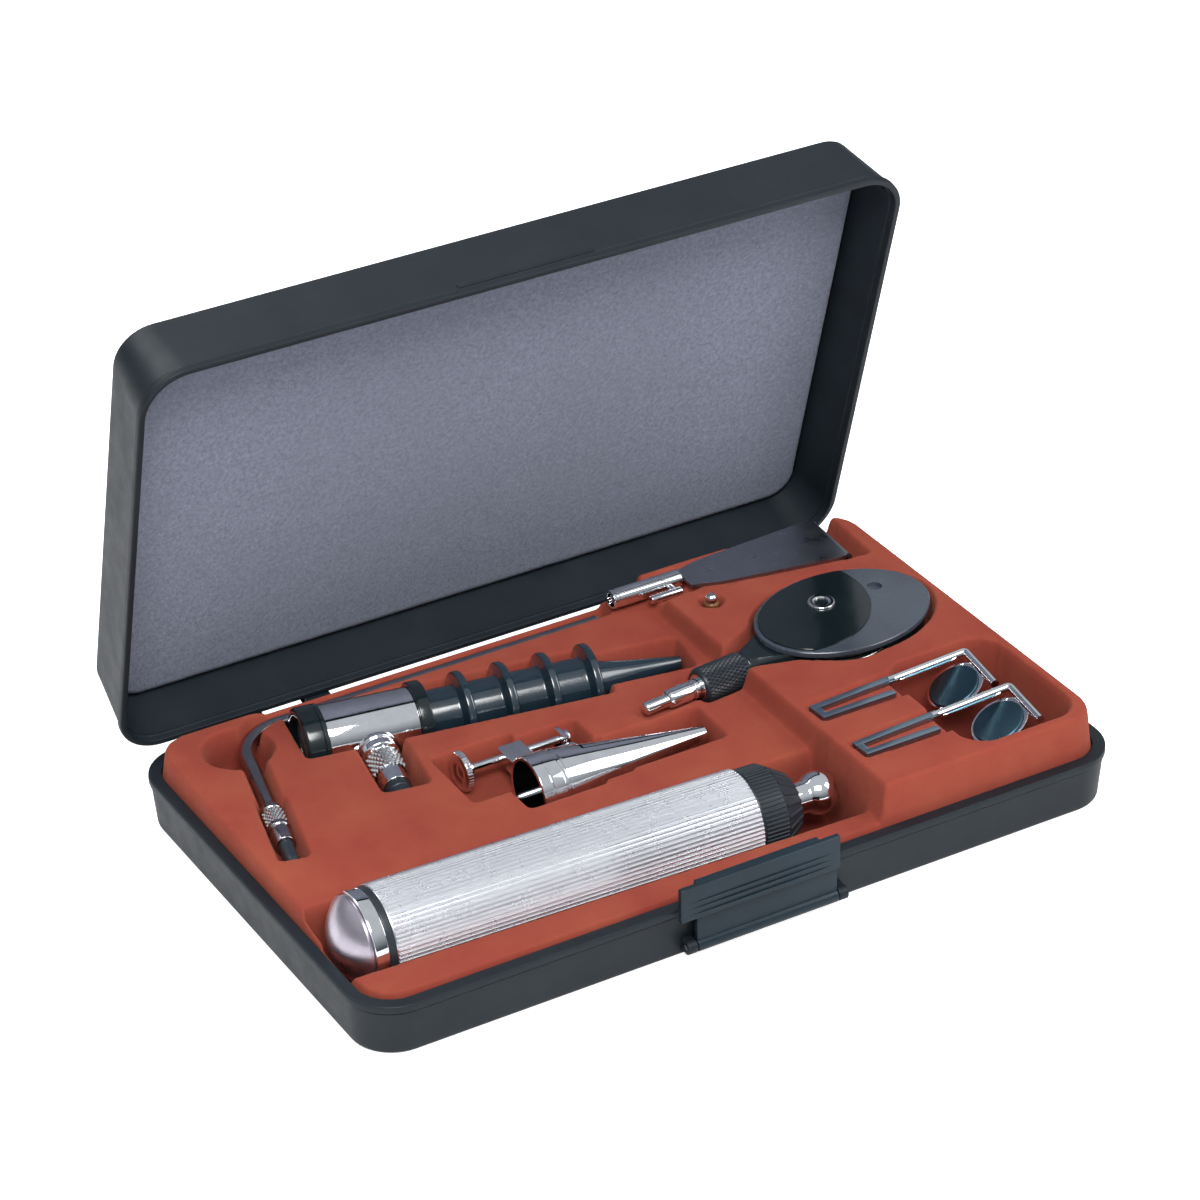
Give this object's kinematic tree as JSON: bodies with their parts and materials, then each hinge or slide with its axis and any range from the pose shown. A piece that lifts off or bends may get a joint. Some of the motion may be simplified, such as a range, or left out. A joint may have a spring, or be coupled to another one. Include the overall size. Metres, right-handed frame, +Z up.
{
  "type": "otoscope carry case",
  "caption": "Hinged hard plastic carry case with a flocked tray that holds an otoscope, ophthalmoscope, battery handle, specula, mirrors and a bent arm lamp.",
  "frame": {"origin": "centre of the base's underside, on the table", "axes": "+X to the right along the case's front, +Y from the latch to the hinge, +Z up"},
  "size_m": [0.25, 0.1861, 0.1597],
  "materials": {
    "case_shell": "moulded, slightly glossy",
    "steel_pin": "plain",
    "latch_plastic": "moulded, slightly glossy",
    "red_flock": "flocked, velvety matte",
    "foam_lining": "open foam, matte",
    "fluted_aluminium": "fine fluted satin",
    "black_plastic": "matte",
    "black_gloss": "polished",
    "bright_chrome": "mirror polish",
    "rose_chrome": "mirror polish, warm reflections",
    "battery_wrap": "printed film without lettering",
    "spring_steel": "plain wire",
    "ivory_insulator": "moulded",
    "brass_contact": "plain",
    "clear_lens": "polished",
    "knurled_chrome": "knurled",
    "grey_plate": "satin grey paint",
    "dark_steel": "dark polished",
    "blue_steel": "satin, bluish",
    "amber_glass": "amber",
    "mirror_face": "polished"
  },
  "bodies": {
    "base": {"base_shell": "case_shell", "hinge_pins": "steel_pin", "latch_pin": "steel_pin", "tray_insert": "red_flock"},
    "lid": {"lid_shell": "case_shell", "lid_foam": "foam_lining"},
    "latch": {"latch": "latch_plastic"},
    "handle": {"handle_sleeve": "fluted_aluminium", "handle_seal_ring": "black_plastic", "battery_rear": "battery_wrap", "battery_front": "battery_wrap", "battery_spring": "spring_steel", "handle_socket": "bright_chrome", "contact_bush": "ivory_insulator", "contact_pin": "brass_contact"},
    "handle_cap": {"handle_end_cap": "rose_chrome"},
    "handle_switch": {"switch_collar": "black_plastic"},
    "otoscope": {"otoscope_barrel": "bright_chrome", "otoscope_bezel": "black_gloss", "magnifier_lens": "clear_lens", "otoscope_front_ring": "black_gloss", "otoscope_nose": "black_gloss", "otoscope_stem": "knurled_chrome", "otoscope_contact": "black_plastic"},
    "ear_specula": {"ear_speculum_1": "black_gloss", "ear_speculum_2": "black_gloss", "ear_speculum_3": "black_gloss", "ear_speculum_4": "black_gloss"},
    "bent_arm_lamp": {"arm_tube": "bright_chrome", "arm_fitting": "knurled_chrome", "arm_contact": "black_plastic", "arm_lamp": "clear_lens"},
    "nasal_speculum": {"nasal_body": "bright_chrome", "nasal_pivot_pin": "steel_pin"},
    "nasal_moving_blade": {"nasal_blade": "bright_chrome"},
    "nasal_screw": {"nasal_thumbscrew": "bright_chrome"},
    "ophthalmoscope": {"ophthalmoscope_housing": "black_gloss", "ophthalmoscope_plate": "grey_plate", "viewing_disc": "black_gloss", "viewing_eyelet": "bright_chrome", "wheel_axle": "steel_pin", "stem_collar": "black_plastic", "ophthalmoscope_connector": "bright_chrome"},
    "lens_disc": {"lens_wheel": "knurled_chrome"},
    "tongue_depressor": {"tongue_blade": "dark_steel", "tongue_clip_tube": "bright_chrome", "tongue_clip_screw": "bright_chrome"},
    "spare_lamp": {"spare_lamp_body": "amber_glass", "spare_lamp_cap": "bright_chrome"},
    "mirror_rear": {"mirror_clip_rear": "blue_steel", "mirror_rod_rear": "bright_chrome", "mirror_glass_rear": "mirror_face"},
    "mirror_front": {"mirror_clip_front": "blue_steel", "mirror_rod_front": "bright_chrome", "mirror_glass_front": "mirror_face"}
  },
  "joints": [
    {"name": "lid_hinge", "type": "hinge", "parent": "base", "child": "lid", "pos_m": [0, 0.0768, 0.0085], "axis": [-1, 0, 0], "range_deg": [-74, 31]},
    {"name": "latch_pivot", "type": "hinge", "parent": "base", "child": "latch", "pos_m": [0, -0.0762, 0.0042], "axis": [1, 0, 0], "range_deg": [0, 75]},
    {"name": "handle_lift", "type": "slide", "parent": "base", "child": "handle", "axis": [0, 0, 1], "range_m": [0, 0.06]},
    {"name": "cap_turn", "type": "hinge", "parent": "handle", "child": "handle_cap", "pos_m": [-0.1051, -0.042, 0.01795], "axis": [0.9994, -0.0349, 0], "continuous": true},
    {"name": "switch_turn", "type": "hinge", "parent": "handle", "child": "handle_switch", "pos_m": [0.01483, -0.04619, 0.01795], "axis": [0.9994, -0.0349, 0], "range_deg": [0, 120]},
    {"name": "otoscope_lift", "type": "slide", "parent": "base", "child": "otoscope", "axis": [0, 0, 1], "range_m": [0, 0.06]},
    {"name": "specula_twist", "type": "hinge", "parent": "otoscope", "child": "ear_specula", "pos_m": [-0.0604, 0.0489, 0.0196], "axis": [0.9869, -0.1616, 0], "range_deg": [0, 25]},
    {"name": "arm_lift", "type": "slide", "parent": "base", "child": "bent_arm_lamp", "axis": [0, 0, 1], "range_m": [0, 0.06]},
    {"name": "nasal_lift", "type": "slide", "parent": "base", "child": "nasal_speculum", "axis": [0, 0, 1], "range_m": [0, 0.06]},
    {"name": "thumbscrew_turn", "type": "hinge", "parent": "nasal_speculum", "child": "nasal_screw", "pos_m": [-0.031, 0.013, 0.021], "axis": [1, 0, 0], "range_deg": [0, 540]},
    {"name": "nasal_blade_open", "type": "hinge", "parent": "nasal_speculum", "child": "nasal_moving_blade", "pos_m": [-0.015, 0.00588, 0.019], "axis": [0, 0, 1], "range_deg": [0, 6]},
    {"name": "ophthalmoscope_lift", "type": "slide", "parent": "base", "child": "ophthalmoscope", "axis": [0, 0, 1], "range_m": [0, 0.06]},
    {"name": "lens_wheel_turn", "type": "hinge", "parent": "ophthalmoscope", "child": "lens_disc", "pos_m": [0.07961, 0.01145, 0.026], "axis": [0, 0, 1], "continuous": true},
    {"name": "tongue_depressor_lift", "type": "slide", "parent": "base", "child": "tongue_depressor", "axis": [0, 0, 1], "range_m": [0, 0.06]},
    {"name": "spare_lamp_lift", "type": "slide", "parent": "base", "child": "spare_lamp", "axis": [0, 0, 1], "range_m": [0, 0.06]},
    {"name": "mirror_rear_lift", "type": "slide", "parent": "base", "child": "mirror_rear", "axis": [0, 0, 1], "range_m": [0, 0.06]},
    {"name": "mirror_front_lift", "type": "slide", "parent": "base", "child": "mirror_front", "axis": [0, 0, 1], "range_m": [0, 0.06]}
  ],
  "couplings": [
    {"joint": "thumbscrew_turn", "follows": "nasal_blade_open", "ratio": 90}
  ]
}
